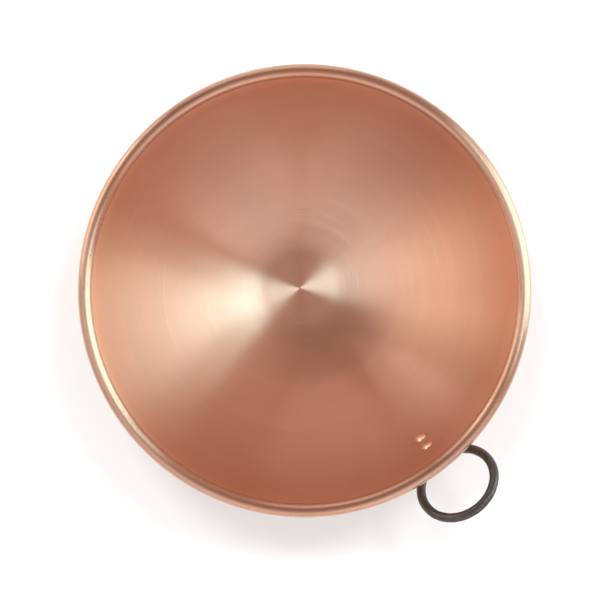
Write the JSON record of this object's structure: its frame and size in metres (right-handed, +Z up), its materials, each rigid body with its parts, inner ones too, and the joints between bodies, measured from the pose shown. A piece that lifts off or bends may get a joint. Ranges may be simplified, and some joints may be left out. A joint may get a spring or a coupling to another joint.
{
  "type": "copper beating bowl",
  "caption": "Deep round-bottomed copper beating bowl with a rolled rim and a dark iron hanging ring held in a riveted strap.",
  "frame": {"origin": "centre of the small flat that the bowl stands on", "axes": "+Z up along the bowl's axis, +X towards the hanging ring, +Y completes the right-handed frame"},
  "size_m": [0.2911, 0.2598, 0.1335],
  "materials": {
    "bowl_copper": "satin spun copper, fine concentric turning marks",
    "rivet_copper": "polished copper",
    "dark_iron": "forged iron, dark oiled scale",
    "rim_wire_steel": "drawn wire"
  },
  "bodies": {
    "bowl": {"bowl": "bowl_copper", "rim_wire": "rim_wire_steel", "ring_strap": "dark_iron", "rivet_upper": "rivet_copper", "rivet_lower": "rivet_copper"},
    "ring": {"hanging_ring": "dark_iron"}
  },
  "joints": [
    {"name": "ring_swing", "type": "hinge", "parent": "bowl", "child": "ring", "pos_m": [0.12686, 0, 0.09915], "axis": [0, -1, 0], "range_deg": [-157, 35]}
  ]
}
